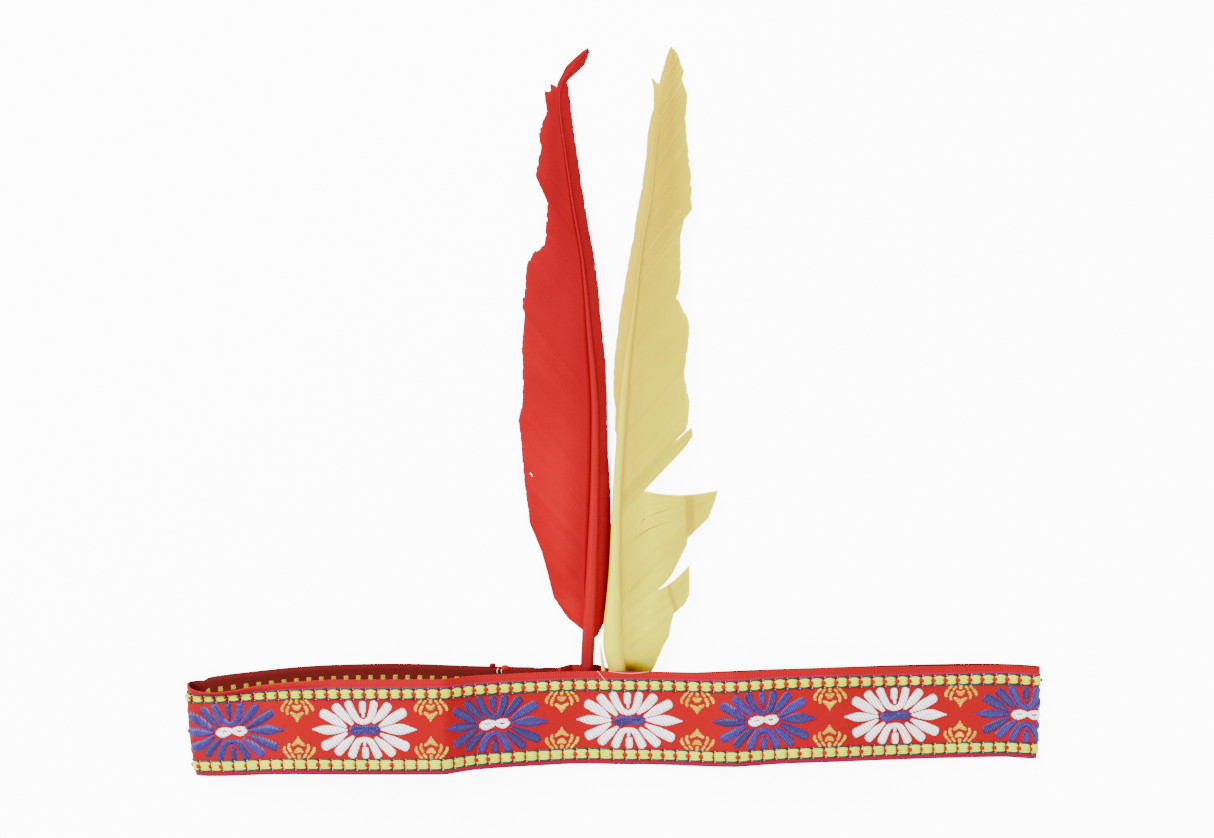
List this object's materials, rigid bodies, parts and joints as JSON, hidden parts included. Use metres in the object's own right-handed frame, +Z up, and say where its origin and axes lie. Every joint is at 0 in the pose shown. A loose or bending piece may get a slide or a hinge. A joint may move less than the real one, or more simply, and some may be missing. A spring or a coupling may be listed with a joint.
{
  "type": "feathered headdress",
  "caption": "Woven ribbon headband lying flattened, with a red and a yellow quill feather standing up behind its front layer.",
  "frame": {"origin": "on the underside of the band's back layer, which lies on the table, below the quills and at mid-width of the band", "axes": "+X along the flattened band, +Y up the feathers, +Z up off the table towards the front layer's pattern"},
  "size_m": [0.279, 0.24, 0.0215],
  "materials": {
    "woven_ribbon": "jacquard-woven polyester ribbon, red ground with raised satin floats in purple, white, gold and chartreuse",
    "patch_cloth": "plain dark red cloth",
    "red_vane": "dyed feather barbs, soft sheen along the barbs",
    "red_shaft": "dyed keratin shaft, smooth and satin",
    "yellow_vane": "dyed feather barbs, soft sheen along the barbs",
    "yellow_shaft": "dyed keratin shaft, smooth and satin"
  },
  "bodies": {
    "root": {"ribbon": "woven_ribbon", "quill_patch": "patch_cloth", "red_quill": "red_shaft", "red_vane_wide": "red_vane", "red_vane_narrow": "red_vane", "yellow_quill": "yellow_shaft", "yellow_vane_narrow": "yellow_vane", "yellow_vane_wide": "yellow_vane"}
  },
  "joints": []
}
